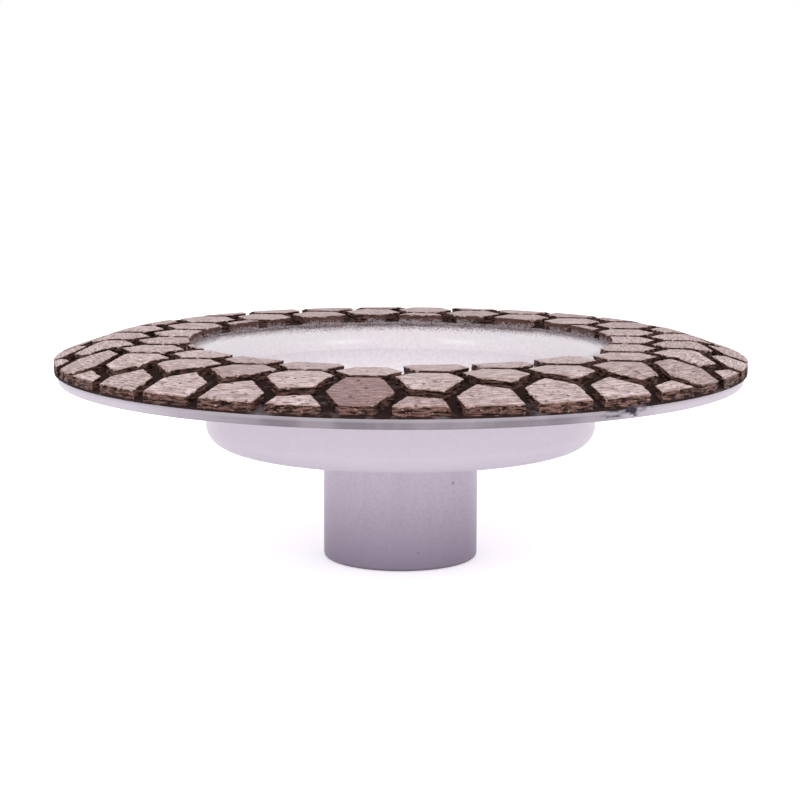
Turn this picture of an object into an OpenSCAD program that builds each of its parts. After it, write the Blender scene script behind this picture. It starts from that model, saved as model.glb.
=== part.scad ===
// Cup-shaped diamond grinding wheel with a honeycomb abrasive ring.
// The origin is the centre of the hub's lower face; +Z points towards the grinding face.

/* [Wheel] */
// Outside diameter of the wheel
wheel_d = 100; // [82:1:130]
// Height of the hub below the cup
hub_stand = 17.1; // [10:0.1:30]
// Depth of the cup, from its underside up to the grinding face
cup_depth = 15.4; // [9:0.1:24]

/* [Honeycomb ring] */
// Radial width of the abrasive ring
ring_w = 19.3; // [14:0.1:22]
// Thickness of the diamond tiles
tile_t = 1.3; // [0.8:0.05:3]
// Thickness of the bond layer that carries the tiles
bond_t = 0.3; // [0.2:0.05:0.8]
// Distance between the centres of neighbouring tiles
cell_pitch = 9.4; // [8:0.1:12]
// Width of the grooves between the tiles
groove_w = 1.9; // [1:0.1:3]
// Turn of the honeycomb about the wheel's axis
pattern_turn = -6.2; // [-30:0.1:30]
// Shift of the honeycomb along X and Y
pattern_shift = [0, 1]; // [-5:0.1:5]
// Shallowest tile that is left at the ring's edges
min_chip = 0.8; // [0.5:0.1:2]

/* [Crown] */
// Radial width of the sloping outer band
bevel_w = 8.1; // [5:0.1:12]
// Radius on the sheet's underside where the flat turns into the sloping band
bevel_bend_r = 1.4; // [0.4:0.1:6]
// Slope of the outer band, in degrees
bevel_slope = 18.7; // [8:0.1:28]

/* [Backing plate] */
// Thickness of the pressed steel sheet
sheet_t = 1.6; // [1:0.1:2.5]
// Set-back of the sheet's edge behind the tiles
rim_setback = 0.5; // [0.2:0.1:1.5]
// Bare flat between the ring and the bend into the cup
land = 0.2; // [0.1:0.1:1]
// Inside radius of the bend from the flange into the cup
mouth_bend_r = 2; // [1:0.1:4]
// Inside radius of the bend between the cup's wall and its floor
floor_bend_r = 1.4; // [0.5:0.1:4]

/* [Hub] */
// Outside diameter of the hub
hub_d = 22.6; // [20:0.1:28]
// Bore of the spindle thread, at its crests
bore_d = 12; // [10:0.1:14]
// Mouth diameter of the countersinks at both ends of the bore
countersink_d = 14.4; // [14.2:0.1:15]
// Chamfer on the hub's lower edge
hub_chamfer = 0.6; // [0.3:0.1:1.2]
// Diameter of the spigot that passes through the cup's floor
spigot_d = 17.6; // [16.6:0.1:19]
// Diameter of the collar that is rolled over the cup's floor
collar_d = 20; // [19.5:0.1:22]
// Height of the rolled collar
collar_h = 0.9; // [0.6:0.1:2]

/* [Hidden] */
$fn = 180;
// Radial clearance of the spigot in the cup's floor
spigot_gap = 0.05;
// Chamfer on the rolled collar's upper edge
collar_chamfer = 0.3;
// Most nodes that the tiles are dealt into
tile_node_limit = 52;
// Angular sectors that put the tiles in order round the wheel
sort_sectors = 60;

wheel_r = wheel_d / 2;
hub_r = hub_d / 2;
bore_r = bore_d / 2;
countersink_r = countersink_d / 2;
countersink_depth = countersink_r - bore_r;
spigot_r = spigot_d / 2;
collar_r = collar_d / 2;

floor_z = hub_stand;
floor_top_z = floor_z + sheet_t;
face_z = floor_z + cup_depth;
plate_z = face_z - tile_t - bond_t;

ring_bore_r = wheel_r - ring_w;
flat_end_r = wheel_r - bevel_w;
plate_edge_r = wheel_r - rim_setback;
mouth_r = ring_bore_r - land;
wall_out_r = mouth_r - mouth_bend_r;
wall_in_r = wall_out_r - sheet_t;
floor_r = wall_in_r - floor_bend_r;
face_blend_r = bevel_bend_r + sheet_t + bond_t + tile_t;

cell_side = cell_pitch / sqrt(3);
tile_r = (cell_pitch - groove_w) / sqrt(3);

// Centre of the cell in column i and row j; odd columns are set half a pitch higher.
function cell_centre(i, j) =
    let (x = 1.5 * cell_side * i, y = cell_pitch * (j + (i % 2 == 0 ? 0 : 0.5)))
    pattern_shift + [
        x * cos(pattern_turn) - y * sin(pattern_turn),
        x * sin(pattern_turn) + y * cos(pattern_turn)
    ];

function tile_corner(centre, k) =
    centre + tile_r * [cos(60 * k + pattern_turn), sin(60 * k + pattern_turn)];

// Distance from the wheel's axis to the straight edge from p to q
function edge_distance(p, q) =
    let (along = q - p, t = max(0, min(1, -(p * along) / (along * along))))
    norm(p + t * along);

function nearest(centre) =
    min([for (k = [0:5]) edge_distance(tile_corner(centre, k), tile_corner(centre, k + 1))]);
function farthest(centre) = max([for (k = [0:5]) norm(tile_corner(centre, k))]);
function is_kept(centre) =
    farthest(centre) > ring_bore_r + min_chip && nearest(centre) < wheel_r - min_chip;

function sector(centre) =
    floor((atan2(centre.y, centre.x) + 180) / 360 * sort_sectors) % sort_sectors;

columns = ceil(wheel_r / cell_side / 1.5) + 2;
rows = ceil(wheel_r / cell_pitch) + 2;
loose_cells = [
    for (i = [-columns:columns]) for (j = [-rows:rows])
        let (centre = cell_centre(i, j)) if (is_kept(centre)) centre
];
// The cells in order round the wheel
cells = [for (s = [0:sort_sectors - 1]) for (centre = loose_cells) if (sector(centre) == s) centre];

tile_nodes = min(tile_node_limit, len(cells));
function first_cell(n) = floor((n - 1) * len(cells) / tile_nodes);
function tile_node(n) = str("diamond_tiles_", n);

// Rectangle between two opposite corners
module block(low, high) {
    polygon([low, [high.x, low.y], high, [low.x, high.y]]);
}

// A quarter turn of the sheet round a bend, from angle start anticlockwise
module bend(inside_r, start) {
    intersection() {
        difference() {
            circle(inside_r + sheet_t);
            circle(inside_r);
        }
        rotate(start) square(inside_r + 2 * sheet_t);
    }
}

// Half section of all that lies under the crown's curve, which is flat, then a blend,
// then the sloping band. Its top lies drop below the grinding face.
module under_crown(drop) {
    blend_r = face_blend_r - drop;
    translate([flat_end_r, face_z - face_blend_r]) {
        translate([-wheel_r, -cup_depth]) square([wheel_r, cup_depth + blend_r]);
        circle(blend_r);
        rotate(-bevel_slope) translate([0, -cup_depth]) square([wheel_r, cup_depth + blend_r]);
    }
}

// Half section of one layer of the crown
module crown_layer(drop, thickness, inner_r, outer_r) {
    intersection() {
        translate([inner_r, floor_z]) square([outer_r - inner_r, cup_depth]);
        difference() {
            under_crown(drop);
            under_crown(drop + thickness);
        }
    }
}

module backing_plate() {
    hole_r = spigot_r + spigot_gap;
    wall_low_z = floor_top_z + floor_bend_r;
    wall_high_z = plate_z - sheet_t - mouth_bend_r;
    color("#e6e1ea")
    rotate_extrude() {
        block([hole_r, floor_z], [floor_r, floor_top_z]);
        translate([floor_r, wall_low_z]) bend(floor_bend_r, 270);
        block([wall_in_r, wall_low_z], [wall_out_r, wall_high_z]);
        translate([mouth_r, wall_high_z]) bend(mouth_bend_r, 90);
        crown_layer(tile_t + bond_t, sheet_t, mouth_r, plate_edge_r);
    }
}

module threaded_hub() {
    top_z = floor_top_z + collar_h;
    color("#b7afbc")
    rotate_extrude() polygon([
        [countersink_r, 0],
        [hub_r - hub_chamfer, 0],
        [hub_r, hub_chamfer],
        [hub_r, floor_z],
        [spigot_r, floor_z],
        [spigot_r, floor_top_z],
        [collar_r, floor_top_z],
        [collar_r, top_z - collar_chamfer],
        [collar_r - collar_chamfer, top_z],
        [countersink_r, top_z],
        [bore_r, top_z - countersink_depth],
        [bore_r, countersink_depth]
    ]);
}

module bond_layer() {
    color("#5a3a38")
    rotate_extrude() crown_layer(tile_t, bond_t, ring_bore_r, wheel_r);
}

// One hexagonal tile, cut to the ring's edges where it crosses them
module diamond_tile(centre) {
    color("#a08880")
    intersection() {
        rotate_extrude() crown_layer(0, tile_t, ring_bore_r, wheel_r);
        translate([centre.x, centre.y, floor_z]) rotate(pattern_turn)
            cylinder(r = tile_r, h = 2 * cup_depth, $fn = 6);
    }
}

module diamond_tiles(n) {
    for (k = [first_cell(n):first_cell(n + 1) - 1]) diamond_tile(cells[k]);
}

backing_plate();
threaded_hub();
bond_layer();
for (n = [1:tile_nodes]) {
    diamond_tiles(n);
}
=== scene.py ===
import math
import random

import bpy
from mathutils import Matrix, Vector, noise


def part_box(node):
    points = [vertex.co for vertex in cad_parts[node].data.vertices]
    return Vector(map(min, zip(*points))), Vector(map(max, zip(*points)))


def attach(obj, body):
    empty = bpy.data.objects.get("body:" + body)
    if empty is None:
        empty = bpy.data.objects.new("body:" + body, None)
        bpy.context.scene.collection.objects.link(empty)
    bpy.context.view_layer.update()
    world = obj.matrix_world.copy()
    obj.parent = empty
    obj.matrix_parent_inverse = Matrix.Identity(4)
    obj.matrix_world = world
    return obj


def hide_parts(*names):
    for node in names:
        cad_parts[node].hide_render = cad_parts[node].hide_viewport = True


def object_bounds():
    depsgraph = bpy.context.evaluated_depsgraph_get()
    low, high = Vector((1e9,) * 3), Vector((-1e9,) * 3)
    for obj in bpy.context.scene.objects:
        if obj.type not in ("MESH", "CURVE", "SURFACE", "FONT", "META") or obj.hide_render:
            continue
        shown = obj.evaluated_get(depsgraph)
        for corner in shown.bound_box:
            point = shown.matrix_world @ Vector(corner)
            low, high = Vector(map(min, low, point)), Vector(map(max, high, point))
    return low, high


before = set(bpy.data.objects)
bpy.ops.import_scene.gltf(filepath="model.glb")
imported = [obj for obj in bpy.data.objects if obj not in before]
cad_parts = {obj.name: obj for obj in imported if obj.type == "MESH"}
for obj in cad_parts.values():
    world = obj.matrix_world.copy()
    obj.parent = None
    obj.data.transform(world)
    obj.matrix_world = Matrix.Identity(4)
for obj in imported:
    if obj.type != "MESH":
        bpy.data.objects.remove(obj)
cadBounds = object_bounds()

mm = 0.001
sharpFrom = {"turned": math.radians(40), "tiles": math.radians(50)}  # bends sharper than this stay crisp
print("frame loaded:", len(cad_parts), "nodes")


def toLinear(hexColour):
    channels = [int(hexColour[i:i + 2], 16) / 255 for i in (1, 3, 5)]
    return [c / 12.92 if c <= 0.04045 else ((c + 0.055) / 1.055) ** 2.4 for c in channels] + [1]


def addNode(tree, kind, inputs=None, **settings):
    # settings are the node's own properties; an input is a value, a socket or a node's first output
    node = tree.nodes.new(kind)
    for name, value in settings.items():
        setattr(node, name, value)
    for key, value in (inputs or {}).items():
        if isinstance(value, bpy.types.Node):
            value = value.outputs[0]
        if isinstance(value, bpy.types.NodeSocket):
            tree.links.new(value, node.inputs[key])
        else:
            node.inputs[key].default_value = value
    return node


def nodePoints(nodeName):
    return [v.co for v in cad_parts[nodeName].data.vertices]


def latheMesh(name, outline, steps, materials, shapeAt=None):
    # turns a closed outline of (radius, height, material slot) about Z; each side of it takes its first
    # point's slot. shapeAt may move a point of the outline by its angle.
    mesh = bpy.data.meshes.new(name)
    count = len(outline)
    points = []
    for step in range(steps):
        angle = 2 * math.pi * step / steps
        for place, (radius, height, _) in enumerate(outline):
            if shapeAt:
                radius, height = shapeAt(place, radius, height, angle)
            points.append((radius * math.cos(angle), radius * math.sin(angle), height))
    faces = []
    for step in range(steps):
        following = (step + 1) % steps
        for place in range(count):
            above = (place + 1) % count
            faces.append((step * count + place, following * count + place,
                          following * count + above, step * count + above))
    mesh.from_pydata(points, [], faces)
    mesh.polygons.foreach_set("material_index", [outline[i % count][2] for i in range(len(faces))])
    for material in materials:
        mesh.materials.append(material)
    mesh.shade_smooth()
    mesh.set_sharp_from_angle(angle=sharpFrom["turned"])
    piece = bpy.data.objects.new(name, mesh)
    bpy.context.scene.collection.objects.link(piece)
    return piece


def arcPoints(centre, radius, startDegrees, endDegrees, sides):
    # a round stretch of an outline, without its last point
    turn = (endDegrees - startDegrees) / sides
    angles = [math.radians(startDegrees + turn * i) for i in range(sides)]
    return [(centre[0] + radius * math.cos(a), centre[1] + radius * math.sin(a)) for a in angles]


# sizes that the frame gives
wheelRadius = cadBounds[1].x
faceHeight = cadBounds[1].z
plateLow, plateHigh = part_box("backing_plate")
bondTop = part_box("bond_layer")[1].z
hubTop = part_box("threaded_hub")[1].z
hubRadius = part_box("threaded_hub")[1].x
bondRadii = [p.xy.length for p in nodePoints("bond_layer")]
ringBore = min(bondRadii)
plateRadii = [(p.xy.length, p.z) for p in nodePoints("backing_plate")]
plateHole = min(radius for radius, _ in plateRadii)
plateEdge = max(radius for radius, _ in plateRadii)
cupMiddle = (plateLow.z + plateHigh.z) / 2
cupRadius = max(radius for radius, height in plateRadii if height < cupMiddle)
boreRadius = min(p.xy.length for p in nodePoints("threaded_hub"))

# the ring is flat, then bends through faceBlend into a bevel that falls to the rim
crown = {"bevelWidth": 8.1 * mm, "slope": math.radians(18.7), "faceBlend": 4.6 * mm}
flatEnd = wheelRadius - crown["bevelWidth"]


def crownHeight(radius, depth):
    # height of the surface that lies depth under the grinding face, measured square to it
    blend = crown["faceBlend"] - depth
    turned = blend * math.sin(crown["slope"])
    beyond = radius - flatEnd
    if beyond <= 0:
        drop = 0
    elif beyond < turned:
        drop = blend - math.sqrt(blend ** 2 - beyond ** 2)
    else:
        drop = blend * (1 - math.cos(crown["slope"])) + (beyond - turned) * math.tan(crown["slope"])
    return faceHeight - depth - drop


def newMaterial(name):
    material = bpy.data.materials.new(name)
    material.use_nodes = True
    return material, material.node_tree, material.node_tree.nodes["Principled BSDF"]


def layColours(tree, tone, layers):
    # lays colours over a tone in turn, each by the share that it covers; they are hex values or sockets
    for share, colour in layers:
        under, over = (toLinear(c) if isinstance(c, str) else c for c in (tone, colour))
        tone = addNode(tree, "ShaderNodeMix", {0: share, 6: under, 7: over}, data_type="RGBA").outputs[2]
    return tone


def satinPaint(name, colour, shade):
    # stoved satin paint on steel: fine orange peel, a soft broad shine, a few specks of dust in it
    material, tree, shader = newMaterial(name)
    place = addNode(tree, "ShaderNodeTexCoord").outputs["Object"]
    cloud = addNode(tree, "ShaderNodeTexNoise", {"Vector": place, "Scale": 1 / (14 * mm), "Detail": 3.0})
    speck = addNode(tree, "ShaderNodeTexVoronoi", {"Vector": place, "Scale": 1 / (7 * mm)})
    isSpeck = addNode(tree, "ShaderNodeMapRange",
                      {0: speck.outputs["Distance"], 1: 0.045, 2: 0.025, 3: 0.0, 4: 0.7})
    # droplets of the spray are near 0.1 mm; drawn at 0.45 mm to show
    spray = addNode(tree, "ShaderNodeTexNoise", {"Vector": place, "Scale": 1 / (0.45 * mm), "Detail": 3.0})
    sprayShare = addNode(tree, "ShaderNodeMapRange", {0: spray, 1: 0.4, 2: 0.62, 3: 0.0, 4: 0.16})
    tone = layColours(tree, colour, [(cloud, shade), (isSpeck, "#6E6670"), (sprayShare, "#8E8590")])
    peel = addNode(tree, "ShaderNodeTexNoise", {"Vector": place, "Scale": 1 / (0.9 * mm), "Detail": 2.0})
    bump = addNode(tree, "ShaderNodeBump", {"Strength": 0.06, "Distance": 0.05 * mm, "Height": peel.outputs[0]})
    tree.links.new(bump.outputs[0], shader.inputs["Normal"])
    shader.inputs["Roughness"].default_value = 0.34
    shader.inputs["Specular IOR Level"].default_value = 0.3
    shader.inputs["Coat Weight"].default_value = 0.12
    shader.inputs["Coat Roughness"].default_value = 0.08
    return material, tree, shader, place, tone


def ringPlace(tree, place, acrossSize, alongSize):
    # coordinates for marks that run round the wheel: across them, and along them at mid ring
    level = addNode(tree, "ShaderNodeVectorMath", {0: place, 1: (1, 1, 0)}, operation="MULTIPLY")
    radius = addNode(tree, "ShaderNodeVectorMath", {0: level}, operation="LENGTH").outputs["Value"]
    parts = addNode(tree, "ShaderNodeSeparateXYZ", {0: place})
    angle = addNode(tree, "ShaderNodeMath", {0: parts.outputs["Y"], 1: parts.outputs["X"]}, operation="ARCTAN2")
    angle = addNode(tree, "ShaderNodeMath", {0: angle}, operation="ABSOLUTE")
    across = addNode(tree, "ShaderNodeMath", {0: radius, 1: acrossSize}, operation="DIVIDE")
    along = addNode(tree, "ShaderNodeMath", {0: angle, 1: 40 * mm / alongSize}, operation="MULTIPLY")
    return addNode(tree, "ShaderNodeCombineXYZ", {"X": across, "Y": along}), radius, parts.outputs["Z"]


# cup: paint, bond powder that thins out in grains below the ring, and a dark band on the rim that is partly
# the bare, handled edge and partly painted shade. The outside and underside carry painted shade and the rim's
# top edge a painted highlight. A coat of powder has its reach down in mm, its cover at the top, its grain size
# in mm and its colour; real grains are near 0.05 mm and are drawn three to four times coarser, to show
cupFinish = {"paint": "#F8F3F6", "cloud": "#F0EBEE", "greyerTowardsFlange": "#BEB7BD", "outside": "#BEB5C0",
             "paintedUnderShade": "#978E9A", "rim": "#5A535B", "rimPatches": "#766F77", "paintedEdgeHighlight": "#D9D2D9",
             "smudge": "#1F1C28", "smudgeAngle": math.radians(-55),
             "powder": ((1.1, 1.0, 0.17, "#B3A9B0"), (0.8, 0.85, 0.14, "#7F7277"), (0.4, 0.6, 0.2, "#54433F"))}
cupPaint, cupTree, cupShader, cupPlace, cupColour = satinPaint("satinPaintOnPressedSteel", cupFinish["paint"],
                                                               cupFinish["cloud"])
_, cupDistance, cupHeight = ringPlace(cupTree, cupPlace, mm, mm)
cupNormal = addNode(cupTree, "ShaderNodeNewGeometry").outputs["Normal"]
normalParts = addNode(cupTree, "ShaderNodeSeparateXYZ", {0: cupNormal})
# the cup turns greyer over the 7 mm below the flange's top
greyerTowardsFlange = addNode(cupTree, "ShaderNodeMapRange",
               {0: cupHeight, 1: plateHigh.z - 7 * mm, 2: plateHigh.z - 1 * mm, 3: 0.0, 4: 0.68})
# the side that faces the hub is duller and painted a shade darker, and what faces down is painted darker still:
# both darkenings are painted shade
axisAway = addNode(cupTree, "ShaderNodeVectorMath", {0: cupPlace, 1: (1000, 1000, 0)}, operation="MULTIPLY")
facesAway = addNode(cupTree, "ShaderNodeVectorMath", {0: cupNormal, 1: axisAway}, operation="DOT_PRODUCT")
outside = addNode(cupTree, "ShaderNodeMapRange",
                  {0: facesAway.outputs["Value"], 1: 0.0, 2: 3.0, 3: 0.0, 4: 1.0})
facesDown = addNode(cupTree, "ShaderNodeMapRange",
                    {0: normalParts.outputs["Z"], 1: 0.05, 2: -0.05, 3: 0.0, 4: 1.0})
dull = addNode(cupTree, "ShaderNodeMath", {0: outside, 1: facesDown}, operation="MAXIMUM")
# the outside and the underside are painted a shade darker: painted shade
paintedOutsideShade = addNode(cupTree, "ShaderNodeMath", {0: dull, 1: 0.85}, operation="MULTIPLY")
# what faces down is painted darker still: painted shade
paintedUnderShade = addNode(cupTree, "ShaderNodeMapRange",
                  {0: normalParts.outputs["Z"], 1: -0.15, 2: -0.9, 3: 0.0, 4: 0.55})
shine = addNode(cupTree, "ShaderNodeMapRange", {0: dull, 1: 0.0, 2: 1.0, 3: 0.3, 4: 0.04})
for socket in ("Specular IOR Level", "Coat Weight"):
    cupTree.links.new(shine.outputs[0], cupShader.inputs[socket])
cupLayers = [(greyerTowardsFlange, cupFinish["greyerTowardsFlange"]), (paintedOutsideShade, cupFinish["outside"]), (paintedUnderShade, cupFinish["paintedUnderShade"])]
inMouth = addNode(cupTree, "ShaderNodeMath", {0: cupDistance, 1: ringBore + 0.1 * mm}, operation="LESS_THAN")
cupY = addNode(cupTree, "ShaderNodeSeparateXYZ", {0: cupPlace}).outputs["Y"]
thinner = addNode(cupTree, "ShaderNodeMapRange",
                  {0: cupY, 1: -0.2 * ringBore, 2: 0.85 * ringBore, 3: 0.9 * mm, 4: 0.0})
coatHeight = addNode(cupTree, "ShaderNodeMath", {0: cupHeight, 1: thinner}, operation="SUBTRACT")
for reachDown, fullest, grainSize, colour in cupFinish["powder"]:
    grain = addNode(cupTree, "ShaderNodeTexVoronoi", {"Vector": cupPlace, "Scale": 1 / (grainSize * mm)})
    grainPick = addNode(cupTree, "ShaderNodeSeparateXYZ", {0: grain.outputs["Color"]})
    cover = addNode(cupTree, "ShaderNodeMapRange",
                    {0: coatHeight, 1: plateHigh.z - reachDown * mm, 2: plateHigh.z - 0.1 * mm, 3: 0.0,
                     4: fullest})
    picked = addNode(cupTree, "ShaderNodeMath", {0: cover, 1: grainPick}, operation="SUBTRACT")
    dots = addNode(cupTree, "ShaderNodeMapRange", {0: picked, 1: 0.0, 2: 0.08, 3: 0.0, 4: 1.0})
    dots = addNode(cupTree, "ShaderNodeMath", {0: dots, 1: inMouth}, operation="MULTIPLY")
    cupLayers.append((dots, colour))
# the rim's edge is a dark grey band with handled patches, partly painted shade; it is darkest at the front and
# fades towards the sides, which is painted shade
handled = addNode(cupTree, "ShaderNodeTexNoise", {"Vector": cupPlace, "Scale": 1 / (5 * mm), "Detail": 5.0})
handledShare = addNode(cupTree, "ShaderNodeMapRange", {0: handled, 1: 0.4, 2: 0.62, 3: 0.0, 4: 1.0})
rimTone = layColours(cupTree, cupFinish["rim"], [(handledShare, cupFinish["rimPatches"])])
rimBand = addNode(cupTree, "ShaderNodeMapRange",
                  {0: cupDistance, 1: plateEdge - 0.5 * mm, 2: plateEdge - 0.15 * mm, 3: 0.0, 4: 0.85})
# the band is strongest at the front and fades towards the sides: painted shade
paintedFrontShade = addNode(cupTree, "ShaderNodeMapRange",
                     {0: cupY, 1: -0.72 * plateEdge, 2: -0.93 * plateEdge, 3: 0.25, 4: 1.0})
rimBand = addNode(cupTree, "ShaderNodeMath", {0: rimBand, 1: paintedFrontShade}, operation="MULTIPLY")
# a painted highlight along the top of the rim band
edgeTop = crownHeight(plateEdge, faceHeight - plateHigh.z)
paintedEdgeHighlight = addNode(cupTree, "ShaderNodeMapRange",
                    {0: cupHeight, 1: edgeTop - 0.8 * mm, 2: edgeTop - 0.2 * mm, 3: 0.0, 4: 0.8})
paintedEdgeHighlight = addNode(cupTree, "ShaderNodeMath", {0: paintedEdgeHighlight, 1: rimBand}, operation="MULTIPLY")
smudgeCentre = (plateEdge * math.cos(cupFinish["smudgeAngle"]), plateEdge * math.sin(cupFinish["smudgeAngle"]),
                3 * (plateHigh.z - 2.4 * mm))
flattened = addNode(cupTree, "ShaderNodeVectorMath", {0: cupPlace, 1: (1, 1, 3)}, operation="MULTIPLY")
fromSmudge = addNode(cupTree, "ShaderNodeVectorMath", {0: flattened, 1: smudgeCentre}, operation="DISTANCE")
smearPlace = addNode(cupTree, "ShaderNodeVectorMath",
                     {0: cupPlace, 1: (1 / (1.6 * mm), 1 / (1.6 * mm), 1 / (0.6 * mm))}, operation="MULTIPLY")
smear = addNode(cupTree, "ShaderNodeTexNoise", {"Vector": smearPlace, "Scale": 1.0, "Detail": 6.0})
nearSmudge = addNode(cupTree, "ShaderNodeMapRange",
                     {0: fromSmudge.outputs["Value"], 1: 6 * mm, 2: 0.5 * mm, 3: -0.3, 4: 0.22})
smudge = addNode(cupTree, "ShaderNodeMath", {0: smear, 1: nearSmudge}, operation="ADD")
smudge = addNode(cupTree, "ShaderNodeMapRange", {0: smudge, 1: 0.42, 2: 0.62, 3: 0.0, 4: 0.95})
cupLayers += [(rimBand, rimTone), (paintedEdgeHighlight, cupFinish["paintedEdgeHighlight"]), (smudge, cupFinish["smudge"])]
cupTree.links.new(layColours(cupTree, cupColour, cupLayers), cupShader.inputs["Base Color"])

# hub: the same paint over turned steel, painted darker towards the end that meets the flange, which is painted
# shade, and rubbed dark at that end
hubFinish = {"paint": "#CCC1CF", "cloud": "#C4B9C7", "wornAndShaded": "#786E7F", "end": "#4E4650", "shine": 0.05}
hubPaint, hubTree, hubShader, hubPlace, hubColour = satinPaint("satinPaintOnTurnedSteel", hubFinish["paint"],
                                                               hubFinish["cloud"])
_, _, hubHeight = ringPlace(hubTree, hubPlace, mm, mm)
# darker over the 15 mm towards the bottom end: painted shade
wornAndShaded = addNode(hubTree, "ShaderNodeMapRange", {0: hubHeight, 1: 15 * mm, 2: 0.0, 3: 0.0, 4: 0.9})
runPlace = addNode(hubTree, "ShaderNodeVectorMath",
                   {0: hubPlace, 1: (1 / (3.5 * mm), 1 / (3.5 * mm), 1 / (50 * mm))}, operation="MULTIPLY")
runs = addNode(hubTree, "ShaderNodeTexNoise", {"Vector": runPlace, "Scale": 1.0, "Detail": 3.0})
runShare = addNode(hubTree, "ShaderNodeMapRange", {0: runs, 1: 0.5, 2: 0.7, 3: 0.0, 4: 0.08})
rubbedEnd = addNode(hubTree, "ShaderNodeMapRange", {0: hubHeight, 1: 0.5 * mm, 2: 0.1 * mm, 3: 0.0, 4: 0.6})
hubLayers = [(wornAndShaded, hubFinish["wornAndShaded"]), (runShare, hubFinish["wornAndShaded"]), (rubbedEnd, hubFinish["end"])]
hubTree.links.new(layColours(hubTree, hubColour, hubLayers), hubShader.inputs["Base Color"])
hubShader.inputs["Specular IOR Level"].default_value = hubFinish["shine"]
hubShader.inputs["Coat Weight"].default_value = 0.0

# bore: bare turned steel, bright where the tool cut, with a brownish film of oil left in patches
boreFinish = {"steel": "#98969A", "oil": "#6A625E"}
turnedSteel, steelTree, steelShader = newMaterial("turnedSteel")
steelPlace = addNode(steelTree, "ShaderNodeTexCoord").outputs["Object"]
oil = addNode(steelTree, "ShaderNodeTexNoise", {"Vector": steelPlace, "Scale": 1 / (2.5 * mm), "Detail": 4.0})
oilShare = addNode(steelTree, "ShaderNodeMapRange", {0: oil, 1: 0.42, 2: 0.66, 3: 0.0, 4: 0.8})
steelTone = layColours(steelTree, boreFinish["steel"], [(oilShare, boreFinish["oil"])])
# tool marks run round the bore; their 0.1 mm feed is drawn at 0.2 mm to show
feedPlace = addNode(steelTree, "ShaderNodeVectorMath",
                    {0: steelPlace, 1: (1 / (4 * mm), 1 / (4 * mm), 1 / (0.2 * mm))}, operation="MULTIPLY")
feedMarks = addNode(steelTree, "ShaderNodeTexNoise", {"Vector": feedPlace, "Scale": 1.0, "Detail": 2.0})
steelDull = addNode(steelTree, "ShaderNodeMapRange", {0: feedMarks, 1: 0.3, 2: 0.7, 3: 0.26, 4: 0.46})
steelBump = addNode(steelTree, "ShaderNodeBump",
                    {"Strength": 0.4, "Distance": 0.02 * mm, "Height": feedMarks.outputs[0]})
steelTree.links.new(steelTone, steelShader.inputs["Base Color"])
steelTree.links.new(steelDull.outputs[0], steelShader.inputs["Roughness"])
steelTree.links.new(steelBump.outputs[0], steelShader.inputs["Normal"])
steelShader.inputs["Metallic"].default_value = 1.0

# bond: dark sintered metal powder, dull as cinder, with pale grinding dust caught in it; its near-black ground
# is partly painted shade for the deep grooves between the tiles. Its grains of about 0.1 mm are drawn at 0.5 mm,
# and the paint grains on its bore at 0.14 mm, to show
bondFinish = {"hollowsAndGrooveShade": "#120908", "powder": "#33201D", "dust": "#7D7479", "bore": "#54403C",
              "grains": "#A79DA3"}
sinteredBond, bondTree, bondShader = newMaterial("sinteredBond")
bondPlace = addNode(bondTree, "ShaderNodeTexCoord").outputs["Object"]
powder = addNode(bondTree, "ShaderNodeTexNoise", {"Vector": bondPlace, "Scale": 1 / (0.5 * mm), "Detail": 4.0})
drift = addNode(bondTree, "ShaderNodeTexNoise", {"Vector": bondPlace, "Scale": 1 / (3.2 * mm), "Detail": 5.0})
dusted = addNode(bondTree, "ShaderNodeMapRange", {0: drift, 1: 0.56, 2: 0.76, 3: 0.0, 4: 0.55})
_, bondDistance, _ = ringPlace(bondTree, bondPlace, mm, mm)
boreFace = addNode(bondTree, "ShaderNodeMapRange",
                   {0: bondDistance, 1: ringBore + 0.12 * mm, 2: ringBore + 0.02 * mm, 3: 0.0, 4: 0.9})
boreGrain = addNode(bondTree, "ShaderNodeTexVoronoi", {"Vector": bondPlace, "Scale": 1 / (0.14 * mm)})
borePick = addNode(bondTree, "ShaderNodeSeparateXYZ", {0: boreGrain.outputs["Color"]})
boreDust = addNode(bondTree, "ShaderNodeMapRange", {0: borePick, 1: 0.2, 2: 0.3, 3: 0.0, 4: 0.9})
boreDust = addNode(bondTree, "ShaderNodeMath", {0: boreDust, 1: boreFace}, operation="MULTIPLY")
# the near-black ground is partly painted shade in the grooves
bondTone = layColours(bondTree, bondFinish["hollowsAndGrooveShade"],
                      [(powder, bondFinish["powder"]), (dusted, bondFinish["dust"]),
                       (boreFace, bondFinish["bore"]), (boreDust, bondFinish["grains"])])
bondTree.links.new(bondTone, bondShader.inputs["Base Color"])
bondShader.inputs["Roughness"].default_value = 0.95
bondShader.inputs["Specular IOR Level"].default_value = 0.15

# tiles: sintered metal and diamond, ground bright on top, brown and layered on the walls. Each mark on the
# ground tops has its size across and along the wheel in mm, the noise range that shows it, strength, colour
tileFinish = {"streaks": ("#93797A", "#E3CFCF"), "darkTile": "#BFAEAF", "pit": "#3A241F",
              "rubbedEdge": "#80604F", "layers": ("#1C100F", "#74554E"), "boreWall": "#604742",
              "boreGrains": "#A3989E", "flecks": "#D2BBA0",
              "topMarks": (((1.1, 2.0), (0.5, 0.7), 0.5, "#8C6F69"),
                           ((0.3, 1.1), (0.54, 0.64), 0.75, "#6A4D47"),
                           ((0.16, 0.3), (0.6, 0.67), 0.85, "#38231E"),
                           ((0.2, 0.6), (0.34, 0.26), 0.6, "#F4EAE6")),
              "metallic": 0.25, "roughness": 0.58}
diamondTile, tileTree, tileShader = newMaterial("sinteredDiamondTile")
tilePlace = addNode(tileTree, "ShaderNodeTexCoord").outputs["Object"]
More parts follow.
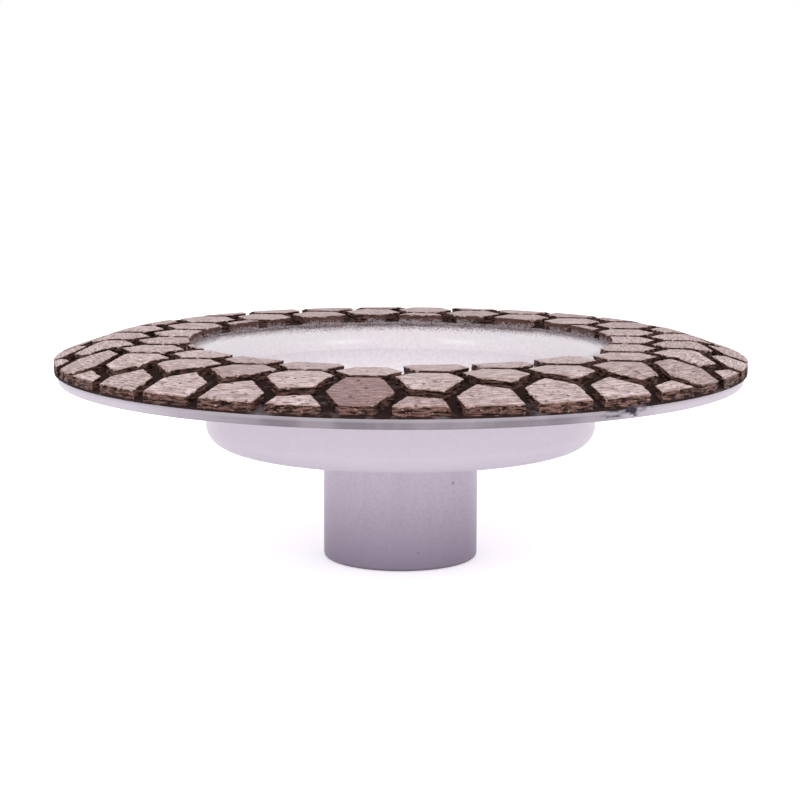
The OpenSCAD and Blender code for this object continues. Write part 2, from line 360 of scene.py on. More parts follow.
dressing, tileDistance, _ = ringPlace(tileTree, tilePlace, 0.17 * mm, 3 * mm)
marks = {}
for name in ("edgeDistance", "tileShade", "wallDepth", "pit"):
    marks[name] = addNode(tileTree, "ShaderNodeAttribute", attribute_name=name).outputs["Fac"]
streaks = addNode(tileTree, "ShaderNodeTexNoise",
                  {"Vector": dressing, "Scale": 1.0, "Detail": 4.0, "Roughness": 0.7})
streakShare = addNode(tileTree, "ShaderNodeMapRange", {0: streaks, 1: 0.4, 2: 0.59, 3: 0.0, 4: 1.0})
topTone = layColours(tileTree, tileFinish["streaks"][0], [(streakShare, tileFinish["streaks"][1])])
ownTint = layColours(tileTree, "#FFFFFF", [(marks["tileShade"], tileFinish["darkTile"])])
topTone = addNode(tileTree, "ShaderNodeMix",
                  {0: 1.0, 6: topTone, 7: ownTint}, data_type="RGBA", blend_type="MULTIPLY").outputs[2]
topLayers = []
for (across, along), (start, full), strength, colour in tileFinish["topMarks"]:
    markPlace = ringPlace(tileTree, tilePlace, across * mm, along * mm)[0]
    mottle = addNode(tileTree, "ShaderNodeTexNoise", {"Vector": markPlace, "Scale": 1.0, "Detail": 3.0})
    share = addNode(tileTree, "ShaderNodeMapRange", {0: mottle, 1: start, 2: full, 3: 0.0, 4: strength})
    topLayers.append((share, colour))
rubbed = addNode(tileTree, "ShaderNodeMapRange",
                 {0: marks["edgeDistance"], 1: 0.16 * mm, 2: 0.0, 3: 0.0, 4: 0.7})
# the pits are painted dark brown: painted shade in them
topLayers += [(marks["pit"], tileFinish["pit"]), (rubbed, tileFinish["rubbedEdge"])]
topTone = layColours(tileTree, topTone, topLayers)
# walls: pressed layers, bright torn grit on the rim, and paint grains (drawn at 0.14 mm) low on the bore
layerPlace = addNode(tileTree, "ShaderNodeVectorMath",
                     {0: tilePlace, 1: (1 / (1.3 * mm), 1 / (1.3 * mm), 1 / (0.24 * mm))}, operation="MULTIPLY")
layers = addNode(tileTree, "ShaderNodeTexNoise", {"Vector": layerPlace, "Scale": 1.0, "Detail": 5.0})
layerShare = addNode(tileTree, "ShaderNodeMapRange", {0: layers, 1: 0.42, 2: 0.62, 3: 0.0, 4: 1.0})
onBore = addNode(tileTree, "ShaderNodeMapRange",
                 {0: tileDistance, 1: ringBore + 0.9 * mm, 2: ringBore + 0.5 * mm, 3: 0.0, 4: 0.75})
dust = addNode(tileTree, "ShaderNodeTexVoronoi", {"Vector": tilePlace, "Scale": 1 / (0.14 * mm)})
dustPick = addNode(tileTree, "ShaderNodeSeparateXYZ", {0: dust.outputs["Color"]})
dustReach = addNode(tileTree, "ShaderNodeMapRange", {0: marks["wallDepth"], 1: 0.4, 2: 1.0, 3: 0.0, 4: 1.2})
dustReach = addNode(tileTree, "ShaderNodeMath", {0: dustReach, 1: onBore}, operation="MULTIPLY")
dusty = addNode(tileTree, "ShaderNodeMath", {0: dustReach, 1: dustPick}, operation="SUBTRACT")
dustyShare = addNode(tileTree, "ShaderNodeMapRange", {0: dusty, 1: 0.0, 2: 0.06, 3: 0.0, 4: 0.8})
flecks = addNode(tileTree, "ShaderNodeTexNoise",
                 {"Vector": layerPlace, "Scale": 2.3, "Detail": 2.0, "Roughness": 0.6})
onRim = addNode(tileTree, "ShaderNodeMapRange",
                {0: tileDistance, 1: wheelRadius - 0.6 * mm, 2: wheelRadius - 0.3 * mm, 3: 0.3, 4: 0.95})
fleckShare = addNode(tileTree, "ShaderNodeMapRange", {0: flecks, 1: 0.66, 2: 0.72, 3: 0.0, 4: onRim})
wallTone = layColours(tileTree, tileFinish["layers"][0],
                      [(layerShare, tileFinish["layers"][1]), (onBore, tileFinish["boreWall"]),
                       (dustyShare, tileFinish["boreGrains"]), (fleckShare, tileFinish["flecks"])])
onWall = addNode(tileTree, "ShaderNodeMapRange", {0: marks["wallDepth"], 1: 0.03, 2: 0.14, 3: 0.0, 4: 1.0})
tileTone = layColours(tileTree, topTone, [(onWall, wallTone)])
tileTree.links.new(tileTone, tileShader.inputs["Base Color"])
groundShine = addNode(tileTree, "ShaderNodeMapRange", {0: onWall, 1: 0.0, 2: 1.0, 3: 0.5, 4: 0.08})
tileTree.links.new(groundShine.outputs[0], tileShader.inputs["Specular IOR Level"])
# diamond grit of 0.15 mm stands proud of the metal
gritBump = addNode(tileTree, "ShaderNodeTexNoise",
                   {"Vector": tilePlace, "Scale": 1 / (0.15 * mm), "Detail": 3.0})
bump = addNode(tileTree, "ShaderNodeBump",
               {"Strength": 0.5, "Distance": 0.04 * mm, "Height": gritBump.outputs[0]})
tileTree.links.new(bump.outputs[0], tileShader.inputs["Normal"])
tileShader.inputs["Metallic"].default_value = tileFinish["metallic"]
tileShader.inputs["Roughness"].default_value = tileFinish["roughness"]
print("materials: satin paint, turned steel, sintered bond and diamond tile")

# pressed cup: one sheet with a floor, a wall, a rolled mouth and the flange that carries the bond. Its edge
# is two arcs; edgeLifts set its start and the arcs' middles off the sheet's corners, in edge rounds
cup = {"sheet": 1.6 * mm, "land": 0.2 * mm, "floorBend": 1.4 * mm, "steps": 288, "bendSides": 12,
       "mouthSides": 18, "crownSides": 14, "edgeRound": 0.35 * mm, "edgeSides": 6,
       "edgeLifts": (0.34, 1.25, 0.9), "edgeTurns": (-75, 72)}


def cupOutline():
    sheet, sides, crownSides = cup["sheet"], cup["bendSides"], cup["crownSides"]
    tileAndBond = faceHeight - plateHigh.z
    mouth = ringBore - cup["land"]
    mouthBend = mouth - cupRadius
    innerRadius = cupRadius - sheet
    floorRadius = innerRadius - cup["floorBend"]
    floorLow = plateLow.z
    wallLow = floorLow + sheet + cup["floorBend"]
    wallHigh = plateHigh.z - sheet - mouthBend
    crownRadii = [flatEnd + (plateEdge - flatEnd) * i / crownSides for i in range(crownSides + 1)]
    under = [(r, crownHeight(r, tileAndBond + sheet)) for r in crownRadii]
    over = [(r, crownHeight(r, tileAndBond)) for r in reversed(crownRadii)]
    rounding, edgeSides = cup["edgeRound"], cup["edgeSides"]
    startLift, lowLift, highDrop = (rounding * lift for lift in cup["edgeLifts"])
    lowEdge, highEdge = under.pop(), over.pop(0)
    edge = [(lowEdge[0] - rounding, lowEdge[1] + startLift)]
    lowTurn, highTurn = cup["edgeTurns"]
    edge += arcPoints((lowEdge[0] - rounding, lowEdge[1] + lowLift), rounding, lowTurn, 0, edgeSides)
    edge += arcPoints((highEdge[0] - rounding, highEdge[1] - highDrop), rounding, 0, highTurn, edgeSides)
    outline = [(plateHole, floorLow)]
    outline += arcPoints((floorRadius, wallLow), cup["floorBend"] + sheet, -90, 0, sides)
    outline += arcPoints((mouth, wallHigh), mouthBend, 180, 90, sides)
    outline += [(mouth, wallHigh + mouthBend)] + under + edge + over
    outline += arcPoints((mouth, wallHigh), mouthBend + sheet, 90, 180, cup["mouthSides"])
    outline += [(innerRadius, wallHigh)]
    outline += arcPoints((floorRadius, wallLow), cup["floorBend"], 0, -90, sides)
    outline += [(floorRadius, floorLow + sheet), (plateHole, floorLow + sheet)]
    return [(radius, height, 0) for radius, height in outline]


pressedCup = latheMesh("pressedCup", cupOutline(), cup["steps"], [cupPaint])
print("pressed cup:", len(pressedCup.data.polygons), "faces")

# hub: turned, tapped right through, and its spigot's end rolled over the cup's floor as a collar. The
# thread's crest and root are shares of its pitch
hub = {"countersink": 7.2 * mm, "lip": 0.3 * mm, "chamfer": 0.6 * mm, "chamferSides": 8, "spigot": 8.8 * mm,
       "collar": 10 * mm, "collarRound": 0.4 * mm, "collarSides": 6, "threadPitch": 2 * mm,
       "threadDepth": 1.05 * mm, "threadCrest": 0.25, "threadRoot": 0.125, "steps": 192, "boreRow": 0.14 * mm}


def threadedBore(place, radius, height, angle):
    # right-hand thread cut into the bore, run out into the countersinks at both ends
    if not hub["boreFirst"] <= place <= hub["boreLast"]:
        return radius, height
    turnShare = (height / hub["threadPitch"] - angle / (2 * math.pi)) % 1
    crest, root = hub["threadCrest"], hub["threadRoot"]
    cut = min(1, max(0, (abs(2 * turnShare - 1) - crest) / (1 - crest - root)))
    mouth = hub["countersink"] - min(height, hubTop - height)
    return max(radius + hub["threadDepth"] * cut, mouth), height


def hubOutline():
    floorLow, floorHigh = plateLow.z, plateLow.z + cup["sheet"]
    rounding, collarRound = hub["chamfer"], hub["collarRound"]
    outline = [(hub["countersink"], 0, 1), (hub["countersink"] + hub["lip"], 0, 0)]
    outline += [(r, h, 0) for r, h in
                arcPoints((hubRadius - rounding, rounding), rounding, -90, 0, hub["chamferSides"])]
    outline += [(hubRadius, rounding, 0), (hubRadius, floorLow, 0), (hub["spigot"], floorLow, 0),
                (hub["spigot"], floorHigh, 0), (hub["collar"], floorHigh, 0)]
    outline += [(r, h, 0) for r, h in
                arcPoints((hub["collar"] - collarRound, hubTop - collarRound), collarRound, 0, 90,
                          hub["collarSides"])]
    outline += [(hub["collar"] - collarRound, hubTop, 0), (hub["countersink"], hubTop, 1)]
    rows = round(hubTop / hub["boreRow"])
    hub["boreFirst"] = len(outline)
    outline += [(boreRadius, hubTop * (1 - i / rows), 1) for i in range(1, rows)]
    hub["boreLast"] = len(outline) - 1
    return outline


threadedHub = latheMesh("threadedHub", hubOutline(), hub["steps"], [hubPaint, turnedSteel], threadedBore)
print("hub:", len(threadedHub.data.polygons), "faces")

# bond layer: a thin skin on the flange, rough with grains and half as strong finer ones, ragged at its rim
bond = {"rows": 60, "underRows": 10, "steps": 720, "grain": 0.8 * mm, "rough": 0.08 * mm, "fineShare": 0.5,
        "fineness": 2.7, "rimRagged": 0.12 * mm, "rimWidth": 0.2 * mm, "rimScale": 0.8,
        "rimShift": Vector((7, 3, 1))}


def bondOutline():
    tileDepth, plateDepth = faceHeight - bondTop, faceHeight - plateHigh.z
    width = wheelRadius - ringBore
    under = [ringBore + width * i / bond["underRows"] for i in range(bond["underRows"] + 1)]
    over = [wheelRadius - width * i / bond["rows"] for i in range(bond["rows"] + 1)]
    outline = [(radius, crownHeight(radius, plateDepth), 0) for radius in under]
    return outline + [(radius, crownHeight(radius, tileDepth), 0) for radius in over]


def roughFloor(place, radius, height, angle):
    point = Vector((radius * math.cos(angle), radius * math.sin(angle), height)) / bond["grain"]
    if place > bond["underRows"]:
        fine = bond["fineShare"] * noise.noise(point * bond["fineness"])
        height += bond["rough"] * (noise.noise(point) + fine)
    if radius > wheelRadius - bond["rimWidth"]:
        radius -= bond["rimRagged"] * abs(noise.noise(point * bond["rimScale"] + bond["rimShift"]))
    return radius, height


bondLayer = latheMesh("bondLayer", bondOutline(), bond["steps"], [sinteredBond], roughFloor)
print("bond layer:", len(bondLayer.data.polygons), "faces")

# diamond tiles: a honeycomb laid on the flange. The crown they follow bends past crownShift beyond the flat
# and over crownEase, and they sink into the bond by sunk
tile = {"pitch": 9.4 * mm, "groove": 1.9 * mm, "turn": math.radians(-6.2), "shift": Vector((0, 1)) * mm,
        "reach": 8, "detail": 5, "pieces": 6, "wallRows": 6, "paintedShadeTile": Vector((-5, -45)) * mm, "shade": 0.5,
        "crownShift": 0.7 * mm, "crownEase": 0.5 * mm, "sunk": 0.03 * mm,
        "inputs": {"Ragged edge": 0.1 * mm, "Rounded edge": 0.12 * mm, "Rounded width": 0.3 * mm,
                   "Pit depth": 0.16 * mm, "Streak depth": 0.03 * mm, "Wall relief": 0.22 * mm,
                   "Uneven height": 0.05 * mm, "Seed": 7}}
tileRadius = (tile["pitch"] - tile["groove"]) / math.sqrt(3)


def cellCentre(column, row):
    x = 1.5 * tile["pitch"] / math.sqrt(3) * column
    y = tile["pitch"] * (row + 0.5 * (column % 2))
    c, s = math.cos(tile["turn"]), math.sin(tile["turn"])
    return Vector((x * c - y * s, x * s + y * c)) + tile["shift"]


def cellsOf(nodeName):
    # the honeycomb cells that a CAD node's tiles stand in
    cells = set()
    for point in nodePoints(nodeName):
        cells.add(min(allCells, key=lambda cell: (allCells[cell] - point.xy).length_squared))
    return [allCells[cell] for cell in sorted(cells)]


reach = range(-tile["reach"], tile["reach"] + 1)
allCells = {(i, j): cellCentre(i, j) for i in reach for j in reach
            if cellCentre(i, j).length < wheelRadius + tileRadius}


def honeycombTree():
    # points are cell centres; each becomes a hexagonal tile, cut by the ring, laid on the crown and worn
    tree = bpy.data.node_groups.new("honeycombTiles", "GeometryNodeTree")
    sockets = [("Geometry", "Geometry", "INPUT"), ("Geometry", "Geometry", "OUTPUT")]
    sockets += [(name, "Float", "INPUT") for name in
                ("Tile radius", "Turn", "Tile height", "Ring inner radius", "Ring outer radius", "Face height",
                 "Flat end radius", "Slope", "Ragged edge", "Rounded edge", "Rounded width", "Pit depth",
                 "Streak depth", "Wall relief", "Uneven height")]
    sockets += [("Detail", "Int", "INPUT"), ("Seed", "Int", "INPUT"), ("Material", "Material", "INPUT")]
    for name, kind, side in sockets:
        tree.interface.new_socket(name, in_out=side, socket_type="NodeSocket" + kind)
    given = tree.nodes.new("NodeGroupInput").outputs
    position = addNode(tree, "GeometryNodeInputPosition")

    # a flat hexagon of fine faces, in which each point knows how far it is from the edge
    hexagon = addNode(tree, "GeometryNodeMeshCircle",
                      {"Vertices": 6, "Radius": given["Tile radius"]}, fill_type="TRIANGLE_FAN")
    patch = addNode(tree, "GeometryNodeSubdivideMesh", {"Mesh": hexagon, "Level": given["Detail"]})
    folded = addNode(tree, "ShaderNodeVectorMath", {0: position}, operation="ABSOLUTE")
    foldedParts = addNode(tree, "ShaderNodeSeparateXYZ", {0: folded})
    slantwise = addNode(tree, "ShaderNodeVectorMath",
                        {0: folded, 1: (math.cos(math.pi / 6), 0.5, 0)}, operation="DOT_PRODUCT")
    across = addNode(tree, "ShaderNodeMath",
                     {0: slantwise.outputs["Value"], 1: foldedParts.outputs["Y"]}, operation="MAXIMUM")
    apothem = addNode(tree, "ShaderNodeMath",
                      {0: given["Tile radius"], 1: math.cos(math.pi / 6)}, operation="MULTIPLY")
    inside = addNode(tree, "ShaderNodeMath", {0: apothem, 1: across}, operation="SUBTRACT")
    patch = addNode(tree, "GeometryNodeStoreNamedAttribute",
                    {"Geometry": patch, "Name": "edgeDistance", "Value": inside})

    # one at each cell centre
    turnVector = addNode(tree, "ShaderNodeCombineXYZ", {"Z": given["Turn"]})
    turn = addNode(tree, "FunctionNodeEulerToRotation", {0: turnVector})
    tiles = addNode(tree, "GeometryNodeInstanceOnPoints",
                    {"Points": given["Geometry"], "Instance": patch, "Rotation": turn})
    tiles = addNode(tree, "GeometryNodeRealizeInstances", {"Geometry": tiles})

    # ragged outlines
    ragged = addNode(tree, "ShaderNodeTexNoise",
                     {"Vector": position, "Scale": 1 / (0.8 * mm), "Detail": 4.0, "Roughness": 0.65})
    centred = addNode(tree, "ShaderNodeVectorMath",
                      {0: ragged.outputs["Color"], 1: (0.5, 0.5, 0.5)}, operation="SUBTRACT")
    flat = addNode(tree, "ShaderNodeVectorMath", {0: centred, 1: (4, 4, 0)}, operation="MULTIPLY")
    wander = addNode(tree, "ShaderNodeVectorMath", {0: flat, "Scale": given["Ragged edge"]}, operation="SCALE")
    tiles = addNode(tree, "GeometryNodeSetPosition", {"Geometry": tiles, "Offset": wander})

    # what lies outside the ring goes, and the cut edges are drawn on to its two circles
    level = addNode(tree, "ShaderNodeVectorMath", {0: position, 1: (1, 1, 0)}, operation="MULTIPLY")
    radius = addNode(tree, "ShaderNodeVectorMath", {0: level}, operation="LENGTH").outputs["Value"]
    beyondRim = addNode(tree, "FunctionNodeCompare",
                        {0: radius, 1: given["Ring outer radius"]}, operation="GREATER_THAN")
    inBore = addNode(tree, "FunctionNodeCompare",
                     {0: radius, 1: given["Ring inner radius"]}, operation="LESS_THAN")
    outside = addNode(tree, "FunctionNodeBooleanMath", {0: beyondRim, 1: inBore}, operation="OR")
    tiles = addNode(tree, "GeometryNodeDeleteGeometry",
                    {"Geometry": tiles, "Selection": outside}, domain="FACE")
    faceCount = addNode(tree, "GeometryNodeInputMeshEdgeNeighbors")
    isBorder = addNode(tree, "FunctionNodeCompare", {2: faceCount, 3: 1}, data_type="INT", operation="EQUAL")
    border = addNode(tree, "GeometryNodeFieldOnDomain", {0: isBorder}, data_type="BOOLEAN", domain="EDGE")
    borderPoint = addNode(tree, "GeometryNodeFieldOnDomain", {0: border}, data_type="FLOAT", domain="POINT")
    # the snap reaches a little over the side of one fine face, a 32nd of the tile's radius
    snap = addNode(tree, "ShaderNodeMath", {0: given["Tile radius"], 1: 0.035}, operation="MULTIPLY")
    newRadius = radius
    for edge, sense in (("Ring outer radius", 1), ("Ring inner radius", -1)):
        gap = addNode(tree, "ShaderNodeMath", {0: given[edge], 1: radius}, operation="SUBTRACT")
        outward = addNode(tree, "ShaderNodeMath", {0: gap, 1: sense}, operation="MULTIPLY")
        near = addNode(tree, "ShaderNodeMath", {0: outward, 1: snap}, operation="LESS_THAN")
        past = addNode(tree, "ShaderNodeMath", {0: outward, 1: 0.0}, operation="LESS_THAN")
        nearBorder = addNode(tree, "ShaderNodeMath", {0: near, 1: borderPoint}, operation="MULTIPLY")
        moved = addNode(tree, "ShaderNodeMath", {0: nearBorder, 1: past}, operation="MAXIMUM")
        newRadius = addNode(tree, "ShaderNodeMath", {0: moved, 1: gap, 2: newRadius}, operation="MULTIPLY_ADD")
    stretch = addNode(tree, "ShaderNodeMath", {0: newRadius, 1: radius}, operation="DIVIDE")
    drawn = addNode(tree, "ShaderNodeVectorMath", {0: position, "Scale": stretch}, operation="SCALE")
    tiles = addNode(tree, "GeometryNodeSetPosition", {"Geometry": tiles, "Position": drawn})
    edgeDistance = addNode(tree, "GeometryNodeInputNamedAttribute", {"Name": "edgeDistance"})
    fromRim = addNode(tree, "ShaderNodeMath", {0: given["Ring outer radius"], 1: radius}, operation="SUBTRACT")
    fromBore = addNode(tree, "ShaderNodeMath", {0: radius, 1: given["Ring inner radius"]}, operation="SUBTRACT")
    nearest = addNode(tree, "ShaderNodeMath", {0: fromRim, 1: fromBore}, operation="MINIMUM")
    nearest = addNode(tree, "ShaderNodeMath", {0: edgeDistance, 1: nearest}, operation="MINIMUM")
    tiles = addNode(tree, "GeometryNodeStoreNamedAttribute",
                    {"Geometry": tiles, "Name": "edgeDistance", "Value": nearest})

    # walls, row by row, and a floor that closes each tile
    rowHeight = addNode(tree, "ShaderNodeMath",
                        {0: given["Tile height"], 1: -tile["wallRows"]}, operation="DIVIDE")
    rowStep = addNode(tree, "ShaderNodeCombineXYZ", {"Z": rowHeight})
    walls, lowest = tiles.outputs[0], border.outputs[0]
    for _ in range(tile["wallRows"]):
        row = addNode(tree, "GeometryNodeExtrudeMesh",
                      {"Mesh": walls, "Selection": lowest, "Offset": rowStep}, mode="EDGES")
        walls, lowest = row.outputs["Mesh"], row.outputs["Top"]
    lid = addNode(tree, "GeometryNodeExtrudeMesh",
                  {"Mesh": walls, "Selection": lowest, "Offset Scale": 0.0}, mode="EDGES")
    island = addNode(tree, "GeometryNodeInputMeshIsland")
    totals = [addNode(tree, "GeometryNodeAccumulateField",
                      {0: value, "Group ID": island.outputs["Island Index"]}, data_type=kind,
                      domain="POINT").outputs["Total"]
              for kind, value in (("FLOAT_VECTOR", position), ("FLOAT", 1.0))]
    share = addNode(tree, "ShaderNodeMath", {0: 1.0, 1: totals[1]}, operation="DIVIDE")
    middle = addNode(tree, "ShaderNodeVectorMath", {0: totals[0], "Scale": share}, operation="SCALE")
    middleParts = addNode(tree, "ShaderNodeSeparateXYZ", {0: middle})
    parts = addNode(tree, "ShaderNodeSeparateXYZ", {0: position})
    underMiddle = addNode(tree, "ShaderNodeCombineXYZ",
                          {"X": middleParts.outputs["X"], "Y": middleParts.outputs["Y"],
                           "Z": parts.outputs["Z"]})
    gathered = addNode(tree, "GeometryNodeSetPosition",
                       {"Geometry": lid, "Selection": lid.outputs["Top"], "Position": underMiddle})
    closed = addNode(tree, "GeometryNodeMergeByDistance", {"Geometry": gathered, "Distance": 0.0005 * mm})
    floorDepth = addNode(tree, "ShaderNodeMath", {0: given["Tile height"], 1: -1.0}, operation="MULTIPLY")
    depthShare = addNode(tree, "ShaderNodeMath", {0: parts.outputs["Z"], 1: floorDepth}, operation="DIVIDE")
    closed = addNode(tree, "GeometryNodeStoreNamedAttribute",
                     {"Geometry": closed, "Name": "wallDepth", "Value": depthShare})

    # round the worn edges, with chips
    nearEdge = addNode(tree, "ShaderNodeMapRange",
                       {0: edgeDistance, 1: 0.0, 2: given["Rounded width"], 3: 1.0, 4: 0.0})
    squared = addNode(tree, "ShaderNodeMath", {0: nearEdge, 1: 2.0}, operation="POWER")
    chips = addNode(tree, "ShaderNodeTexNoise", {"Vector": position, "Scale": 1 / (1.1 * mm), "Detail": 2.0})
    chipShare = addNode(tree, "ShaderNodeMapRange", {0: chips, 1: 0.52, 2: 0.7, 3: 0.6, 4: 3.2})
    edgeDrop = addNode(tree, "ShaderNodeMath", {0: squared, 1: chipShare}, operation="MULTIPLY")
    edgeDrop = addNode(tree, "ShaderNodeMath", {0: edgeDrop, 1: given["Rounded edge"]}, operation="MULTIPLY")

    # pits where grains were torn out
    pits = addNode(tree, "ShaderNodeTexVoronoi", {"Vector": position, "Scale": 1 / (1.0 * mm)})
    pitShape = addNode(tree, "ShaderNodeMapRange",
                       {0: pits, 1: 0.3, 2: 0.1, 3: 0.0, 4: 1.0}, interpolation_type="SMOOTHSTEP")
    pitPick = addNode(tree, "ShaderNodeSeparateXYZ", {0: pits.outputs["Color"]})
    pitted = addNode(tree, "ShaderNodeMath", {0: pitPick, 1: 0.66}, operation="GREATER_THAN")
    pit = addNode(tree, "ShaderNodeMath", {0: pitShape, 1: pitted}, operation="MULTIPLY")
    closed = addNode(tree, "GeometryNodeStoreNamedAttribute", {"Geometry": closed, "Name": "pit", "Value": pit})
    pitDrop = addNode(tree, "ShaderNodeMath", {0: pit, 1: given["Pit depth"]}, operation="MULTIPLY")

    # fine grooves that dressing leaves round the wheel
    angle = addNode(tree, "ShaderNodeMath", {0: parts.outputs["Y"], 1: parts.outputs["X"]}, operation="ARCTAN2")
    angle = addNode(tree, "ShaderNodeMath", {0: angle}, operation="ABSOLUTE")
    along = addNode(tree, "ShaderNodeMath", {0: angle, 1: 12.0}, operation="MULTIPLY")
    outwards = addNode(tree, "ShaderNodeMath", {0: radius, 1: 0.3 * mm}, operation="DIVIDE")
    streakPlace = addNode(tree, "ShaderNodeCombineXYZ", {"X": outwards, "Y": along})
    streaks = addNode(tree, "ShaderNodeTexNoise", {"Vector": streakPlace, "Scale": 1.0, "Detail": 2.0})
    streakDrop = addNode(tree, "ShaderNodeMath", {0: streaks, 1: given["Streak depth"]}, operation="MULTIPLY")

    wear = addNode(tree, "ShaderNodeMath", {0: edgeDrop, 1: pitDrop}, operation="ADD")
    wear = addNode(tree, "ShaderNodeMath", {0: wear, 1: streakDrop}, operation="ADD")
    onTop = addNode(tree, "ShaderNodeMath", {0: parts.outputs["Z"], 1: -0.001 * mm}, operation="GREATER_THAN")
    wear = addNode(tree, "ShaderNodeMath", {0: wear, 1: onTop}, operation="MULTIPLY")

    # no two tiles are worn down alike
    ownWear = addNode(tree, "FunctionNodeRandomValue",
                      {2: 0.0, 3: given["Uneven height"], 7: island.outputs["Island Index"], 8: given["Seed"]},
                      data_type="FLOAT")
    wear = addNode(tree, "ShaderNodeMath", {0: wear, 1: ownWear.outputs[1]}, operation="ADD")

    # layered relief of the pressed powder on the walls
    layerPlace = addNode(tree, "ShaderNodeVectorMath",
                         {0: position, 1: (1 / (1.2 * mm), 1 / (1.2 * mm), 1 / (0.28 * mm))},
                         operation="MULTIPLY")
    layers = addNode(tree, "ShaderNodeTexNoise", {"Vector": layerPlace, "Scale": 1.0, "Detail": 3.0})
    inWall = addNode(tree, "ShaderNodeMath", {0: 1.0, 1: onTop}, operation="SUBTRACT")
    relief = addNode(tree, "ShaderNodeMapRange", {0: layers, 1: 0.35, 2: 0.7, 3: 0.0, 4: -1.0})
    relief = addNode(tree, "ShaderNodeMath", {0: relief, 1: given["Wall relief"]}, operation="MULTIPLY")
    relief = addNode(tree, "ShaderNodeMath", {0: relief, 1: inWall}, operation="MULTIPLY")
    normal = addNode(tree, "GeometryNodeInputNormal")
    wallNormal = addNode(tree, "ShaderNodeVectorMath", {0: normal, 1: (1, 1, 0)}, operation="MULTIPLY")
    sideMove = addNode(tree, "ShaderNodeVectorMath", {0: wallNormal, "Scale": relief}, operation="SCALE")

    # laid on the crown, and trimmed to the ring's two circles
    past = addNode(tree, "ShaderNodeMath", {0: radius, 1: given["Flat end radius"]}, operation="SUBTRACT")
    steepness = addNode(tree, "ShaderNodeMath", {0: given["Slope"]}, operation="TANGENT")
    fall = addNode(tree, "ShaderNodeMath", {0: past, 1: steepness}, operation="MULTIPLY")
    drop = addNode(tree, "ShaderNodeMath", {0: fall, 1: 0.0, 2: tile["crownEase"]}, operation="SMOOTH_MAX")
    drop = addNode(tree, "ShaderNodeMath", {0: drop, 1: wear}, operation="ADD")
    rise = addNode(tree, "ShaderNodeMath", {0: given["Face height"], 1: drop}, operation="SUBTRACT")
    riseVector = addNode(tree, "ShaderNodeCombineXYZ", {"Z": rise})
    move = addNode(tree, "ShaderNodeVectorMath", {0: riseVector, 1: sideMove}, operation="ADD")
    wornAndShaded = addNode(tree, "GeometryNodeSetPosition", {"Geometry": closed, "Offset": move})
    kept = addNode(tree, "ShaderNodeMath", {0: radius, 1: given["Ring outer radius"]}, operation="MINIMUM")
    kept = addNode(tree, "ShaderNodeMath", {0: kept, 1: given["Ring inner radius"]}, operation="MAXIMUM")
    stretch = addNode(tree, "ShaderNodeMath", {0: kept, 1: radius}, operation="DIVIDE")
    stretchVector = addNode(tree, "ShaderNodeCombineXYZ", {"X": stretch, "Y": stretch, "Z": 1.0})
    trimmed = addNode(tree, "ShaderNodeVectorMath", {0: position, 1: stretchVector}, operation="MULTIPLY")
    wornAndShaded = addNode(tree, "GeometryNodeSetPosition", {"Geometry": wornAndShaded, "Position": trimmed})
    real = addNode(tree, "GeometryNodeRealizeInstances", {"Geometry": wornAndShaded})
    finished = addNode(tree, "GeometryNodeSetMaterial", {"Geometry": real, "Material": given["Material"]})
    tree.links.new(finished.outputs[0], tree.nodes.new("NodeGroupOutput").inputs[0])
    return tree


def tilePiece(tree, name, centres, seed):
    points = bpy.data.meshes.new(name + "Centres")
    points.from_pydata([(c.x, c.y, 0) for c in centres], [], [])
    shades = random.Random(seed)
    tone = points.attributes.new("tileShade", "FLOAT", "POINT")
    for value, centre in zip(tone.data, centres):
        # the tile at the front centre gets the full dark tint, which is painted shade; the others differ in tone
        # at random
        value.value = shades.uniform(0, tile["shade"]) if (centre - tile["paintedShadeTile"]).length > tileRadius else 1
    holder = bpy.data.objects.new(name + "Centres", points)
    bpy.context.scene.collection.objects.link(holder)
    modifier = holder.modifiers.new("honeycomb", "NODES")
    modifier.node_group = tree
    values = {"Tile radius": tileRadius, "Turn": tile["turn"], "Ring inner radius": ringBore,
              "Tile height": (faceHeight - bondTop) / math.cos(crown["slope"]) + tile["sunk"],
              "Ring outer radius": wheelRadius, "Face height": faceHeight,
              "Flat end radius": flatEnd + tile["crownShift"], "Slope": crown["slope"], "Detail": tile["detail"],
              "Material": diamondTile, **tile["inputs"], "Seed": seed}
    for socket in tree.interface.items_tree:
        if socket.in_out == "INPUT" and socket.name in values:
            modifier[socket.identifier] = values[socket.name]
    evaluated = holder.evaluated_get(bpy.context.evaluated_depsgraph_get())
    mesh = bpy.data.meshes.new_from_object(evaluated)
    holder.modifiers.remove(modifier)
    bpy.data.objects.remove(holder)
    mesh.name = name
    mesh.shade_smooth()
    mesh.set_sharp_from_angle(angle=sharpFrom["tiles"])
    piece = bpy.data.objects.new(name, mesh)
    bpy.context.scene.collection.objects.link(piece)
    return piece


tileNodes = sorted((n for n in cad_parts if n.startswith("diamond_tiles_")),
                   key=lambda n: int(n.rsplit("_", 1)[1]))
honeycomb = honeycombTree()
for number in range(tile["pieces"]):
    first, last = (round(len(tileNodes) * k / tile["pieces"]) for k in (number, number + 1))
    members = tileNodes[first:last]
    centres = [centre for member in members for centre in cellsOf(member)]
    piece = tilePiece(honeycomb, f"diamondTiles_{number + 1}", centres, tile["inputs"]["Seed"] + number)
    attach(piece, "root")
    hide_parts(*members)
    print(piece.name, len(centres), "tiles", len(piece.data.polygons), "faces")

for piece, node, slot in ((pressedCup, "backing_plate", "cup_paint"),
                          (threadedHub, "threaded_hub", "hub_paint"),
                          (bondLayer, "bond_layer", "bond_metal")):
    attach(piece, "root")
    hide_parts(node)

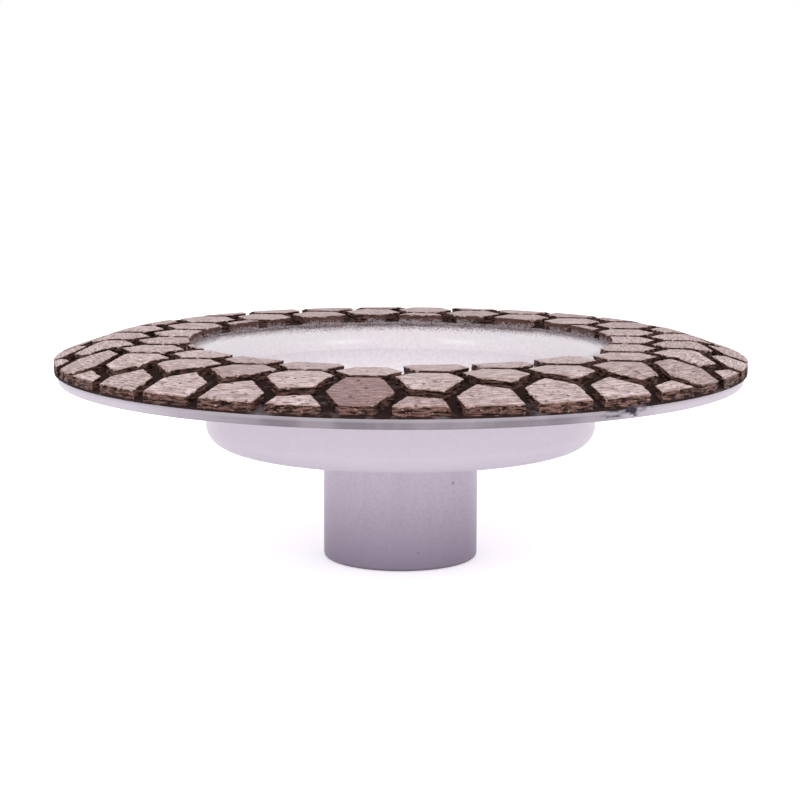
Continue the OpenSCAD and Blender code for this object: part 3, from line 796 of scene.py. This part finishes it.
# studio: a lit paper floor in a white tent, and two weak softboxes in front of the wheel
studio = {"floor": 8.0, "gap": 0.02 * mm, "glow": 0.45, "tent": 1.0,
          "sides": {"softboxLeft": -1, "softboxRight": 1}, "softboxOut": 0.30, "softboxFront": 0.34,
          "softboxUp": 0.34, "softboxAim": 0.02, "softboxSize": 0.22, "softboxWatts": 0.6}
half = studio["floor"] / 2
corners = [(x, y, -studio["gap"]) for x, y in ((-half, -half), (half, -half), (half, half), (-half, half))]
floorMesh = bpy.data.meshes.new("paperFloor")
floorMesh.from_pydata(corners, [], [(0, 1, 2, 3)])
# uncoated white paper on a light table: matt, and bright from below
litPaper, _, paperShader = newMaterial("litPaper")
paperShader.inputs["Base Color"].default_value = toLinear("#F7F6F8")
paperShader.inputs["Roughness"].default_value = 0.9
paperShader.inputs["Emission Color"].default_value = toLinear("#FFFFFF")
paperShader.inputs["Emission Strength"].default_value = studio["glow"]
floorMesh.materials.append(litPaper)
paperFloor = bpy.data.objects.new("paperFloor", floorMesh)
bpy.context.scene.collection.objects.link(paperFloor)

world = bpy.data.worlds.new("whiteTent")
bpy.context.scene.world = world
world.use_nodes = True
world.node_tree.nodes["Background"].inputs["Color"].default_value = (1, 1, 1, 1)
world.node_tree.nodes["Background"].inputs["Strength"].default_value = studio["tent"]
bpy.context.scene.view_settings.view_transform = "Standard"

for name, side in studio["sides"].items():
    lamp = bpy.data.lights.new(name, "AREA")
    lamp.shape = "RECTANGLE"
    lamp.size = lamp.size_y = studio["softboxSize"]
    lamp.energy = studio["softboxWatts"]
    light = bpy.data.objects.new(name, lamp)
    light.location = (side * studio["softboxOut"], -studio["softboxFront"], studio["softboxUp"])
    aim = Vector((0, 0, studio["softboxAim"])) - light.location
    light.rotation_euler = aim.to_track_quat("-Z", "Y").to_euler()
    bpy.context.scene.collection.objects.link(light)

# the camera looks a little down on the wheel from the front
cameraSetup = {"back": 288.6 * mm, "aboveFace": 34.46 * mm, "left": 0.22 * mm, "lookDown": 0.1507,
               "roll": -0.0026, "lens": 89.6, "sensor": 36, "nearest": 10 * mm}
cameraData = bpy.data.cameras.new("camera")
cameraData.lens = cameraSetup["lens"]
cameraData.sensor_width = cameraSetup["sensor"]
cameraData.clip_start = cameraSetup["nearest"]
camera = bpy.data.objects.new("camera", cameraData)
camera.location = (-cameraSetup["left"], -cameraSetup["back"], faceHeight + cameraSetup["aboveFace"])
camera.rotation_euler = (math.pi / 2 - cameraSetup["lookDown"], cameraSetup["roll"], 0)
bpy.context.scene.collection.objects.link(camera)
bpy.context.scene.camera = camera
print("studio: paper floor, white tent, two softboxes and the camera")
